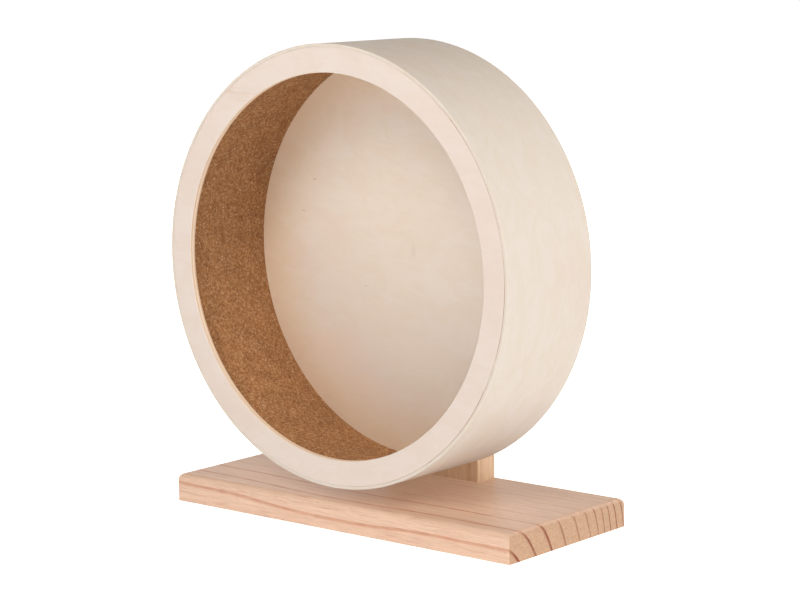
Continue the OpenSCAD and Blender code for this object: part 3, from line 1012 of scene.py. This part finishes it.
# %% Bore the post
post = board("pine_post", "upright_post", 2 * MM, 0.7 * MM)
post_front, post_back = reach("upright_post", "Y")
seat_r = reach("front_outer_race", "X")[1] + 0.02 * MM
race_back = reach("front_outer_race", "Y")[1]
race_front = reach("rear_outer_race", "Y")[0]
through_r = 9.06 * MM
mouth = 0.4 * MM
bore_section = [
    (0, post_front - MM), (seat_r + mouth + MM, post_front - MM), (seat_r, post_front + mouth),
    (seat_r, race_back), (through_r, race_back), (through_r, race_front), (seat_r, race_front),
    (seat_r, post_back - mouth), (seat_r + mouth + MM, post_back + MM), (0, post_back + MM),
]
bore = mesh_object("bore", *swept(bore_section, np.linspace(0, FULL_TURN, 144, endpoint=False)))
carve(post, [bore] + [screw_tool(side, 0.05 * MM) for side in (-1, 1)])
post_years = [(0, 0), (20, 0.12), (40, 0.26), (60, 0.40),
              (76.7, 0.50), (100, 0.64), (130, 0.80), (160, 0.95)]
post_darkness = [(0, 0.4), (66, 0.2), (77, 0.4), (90, 0.2), (160, 0.4)]
post_pith, post_turn = (0, 108 * MM, 100 * MM), (math.radians(2.6), math.radians(-91.2), 0)
post_finish = pine(
    "post_pine", post_pith, post_turn, post_years, post_darkness,
    long_fade=(80, 100), pale=(0.635, 0.425, 0.262), dark=(0.36, 0.125, 0.055), rust=0.15,
)
settle(post, "upright_post", "stand", post_finish)

# %% [markdown]
# ## The hub block
#
# Behind the disc a thick round plywood block takes the axle bolt. Its rim shows seven sheets.
# The glue lines between them stand back a few hundredths of a millimetre after sanding, so the
# section steps in at each. A six-sided pocket in its front holds the bolt head.

# %% Turn the hub block
boss_front, boss_back = reach("hub_boss", "Y")
boss_r = reach("hub_boss", "X")[1]
bolt_r = 4 * MM
bore_r = bolt_r + 0.02 * MM
sheets = 7
sheet_t = (boss_back - boss_front) / sheets
glue_half, glue_sunk = 0.12 * MM, 0.05 * MM
rim = []
for k in range(1, sheets):
    at = boss_front + k * sheet_t
    rim += [(boss_r, at - glue_half), (boss_r - glue_sunk, at), (boss_r, at + glue_half)]
back_edge = [(boss_r, boss_back - 2 * MM), (boss_r, boss_back), (bore_r, boss_back)]
boss_section = np.concatenate([
    [(bore_r, boss_front), (boss_r, boss_front)], rim, eased(back_edge, [0, 0.8 * MM, 0]),
])
boss_angles = np.linspace(0, FULL_TURN, 240, endpoint=False)
boss = mesh_object("plywood_hub_block", *swept(boss_section, boss_angles))
AXLE = spot(0, 0, axle_z) @ Matrix.Rotation(-math.pi / 2, 4, "X")
head_flats = 13 * MM
bolt_head_h = 5.3 * MM
pocket_back = boss_front + bolt_head_h + 0.15 * MM
carve(boss, [prism("pocket", 6, head_flats + 0.3 * MM, boss_front - MM, pocket_back, AXLE)])
boss_finish = plywood(
    "hub_block_plywood", (0.66, 0.52, 0.38), (0.63, 0.48, 0.34), math.radians(70),
    layers=(boss_front, sheet_t),
)
settle(boss, "hub_boss", "wheel", boss_finish)

# %% [markdown]
# ## Steel and nylon
#
# Three steels show at the hub. Zinc plating is bright with a faint blue and straw cast and soft
# blotches, because the coat is built up in a tumbling drum. Bearing rings are ground, so their
# fine lines run round the axle. The shields are pressed from sheet. The lines are a noise read
# by radius, which the turned parts share. The races, balls, cages, shields, washers, sleeves
# and the nut keep their CAD shapes.


# %% Make the metals
TURNING_LINES = 9000.0


def steel(name, colour, tint, roughness, rings):
    """Metal with soft blotches, fine scratches and, if rings is true, turning lines about the
    axle."""
    f = Finish(name, metallic=1.0)
    cloud = f.noise(f.place(size=(0.006,) * 3), detail=3.0)
    scratch = f.noise(f.place(size=(0.004, 0.0002, 0.0025), turn=(0.3, 0.4, 0.2)), detail=2.0)
    lines = scratch
    if rings:
        x, y, z = f.parts(f.place(centre=(0, 0, axle_z)))
        outwards = f.product(f.distance(x, z), TURNING_LINES)
        lines = f.noise(f.joined(outwards, f.product(y, TURNING_LINES)), detail=2.0)
    mixed = f.blend(colour, tint, f.spread(cloud, 0.35, 0.7, smooth=True))
    mixed = f.times(mixed, f.vary(lines, 0.94, 1.04))
    f.relief(f.total(lines, f.product(scratch, 0.5)), 0.000004)
    dull = f.vary(cloud, roughness - 0.06, roughness + 0.08)
    return f.paint(mixed, f.total(dull, f.vary(lines, -0.03, 0.05)))


zinc = steel("zinc_plate", (0.66, 0.67, 0.69), (0.60, 0.62, 0.60), 0.32, rings=False)
ground = steel("ground_bearing_steel", (0.62, 0.62, 0.63), (0.56, 0.57, 0.59), 0.20, rings=True)
pressed = steel("pressed_shield_steel", (0.52, 0.53, 0.55), (0.46, 0.47, 0.49), 0.30, rings=True)
cage_sheet = steel("pressed_cage_steel", (0.48, 0.44, 0.38), (0.42, 0.39, 0.34), 0.36, rings=False)

f = Finish("blue_nylon", specular=0.5)
flow = f.noise(f.place(size=(0.003,) * 3), detail=2.0)
f.relief(f.noise(f.place(size=(0.0005,) * 3)), 0.00001)
blue = f.blend((0.035, 0.10, 0.36), (0.05, 0.14, 0.44), f.spread(flow, 0.35, 0.65))
nylon = f.paint(blue, f.vary(flow, 0.4, 0.5))

finish_of = {
    "zinc_steel": zinc, "bearing_steel": ground, "shield_steel": pressed,
    "cage_steel": cage_sheet, "nylon": nylon,
}
slot_of = {part["node"]: part["material_slot"] for part in frame["record"]["subparts"]}
for node, part in nodes.items():
    if slot_of[node] in finish_of:
        part.data.materials.clear()
        part.data.materials.append(finish_of[slot_of[node]])
settle(pair, "post_screws", "stand", zinc)
print("metal or nylon on", sum(slot_of[n] in finish_of for n in nodes), "nodes")

# %% [markdown]
# ## The axle bolt
#
# The frame's bolt is a plain pin. A real one has a thread, and its last turns stand out behind
# the lock nut, where anyone looks who checks the wheel. The head is a hexagon whose corners a
# lathe has taken off, so it is the part that a hexagon and a cone have in common.

# %% Thread the bolt
bolt_front, bolt_end = reach("axle_bolt", "Y")
head_back = bolt_front + bolt_head_h
bolt_pitch, thread_depth = 1.25 * MM, 0.72 * MM
thread_start = bolt_end - 22 * MM
head_corner = head_flats / math.sqrt(3)
corner_drop = (head_corner - head_flats / 2) / 2


def bolt_radius(h, turn):
    """Plain shank, then a metric thread with a tapered end."""
    cut = np.interp(h, [thread_start, thread_start + 1.5 * MM], [0, thread_depth])
    ridge = bolt_r - cut * (1 - crest(h, turn, bolt_pitch))
    return np.minimum(ridge, bolt_r - np.clip(h - (bolt_end - MM), 0, MM))


def cone_radius(h, turn):
    """The lathe's cone, which takes the corners off the head."""
    ends = [bolt_front, bolt_front + corner_drop + MM]
    return np.interp(h, ends, [head_corner - corner_drop, head_corner + MM])


head = prism("axle_bolt_with_thread", 6, head_flats, bolt_front, head_back, AXLE)
cone_heights = [bolt_front - MM, bolt_front, bolt_front + corner_drop + MM, head_back + MM]
bolt = carve(head, [rod("cone", cone_heights, cone_radius, AXLE, turns=96)], "INTERSECT")
thread_heights = np.arange(thread_start, bolt_end, 0.12 * MM)
bolt_heights = np.concatenate([[head_back - MM, thread_start - MM], thread_heights, [bolt_end]])
carve(bolt, [rod("shank", bolt_heights, bolt_radius, AXLE, turns=64)], "UNION")
settle(bolt, "axle_bolt", "wheel", zinc)

# %% Measure and finish
visual_box = [list(corner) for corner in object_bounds()]
apart = max(abs(a - b) for c, d in zip(cad_box, visual_box) for a, b in zip(c, d))
print("largest difference from the CAD box:", round(apart / MM, 3), "mm")
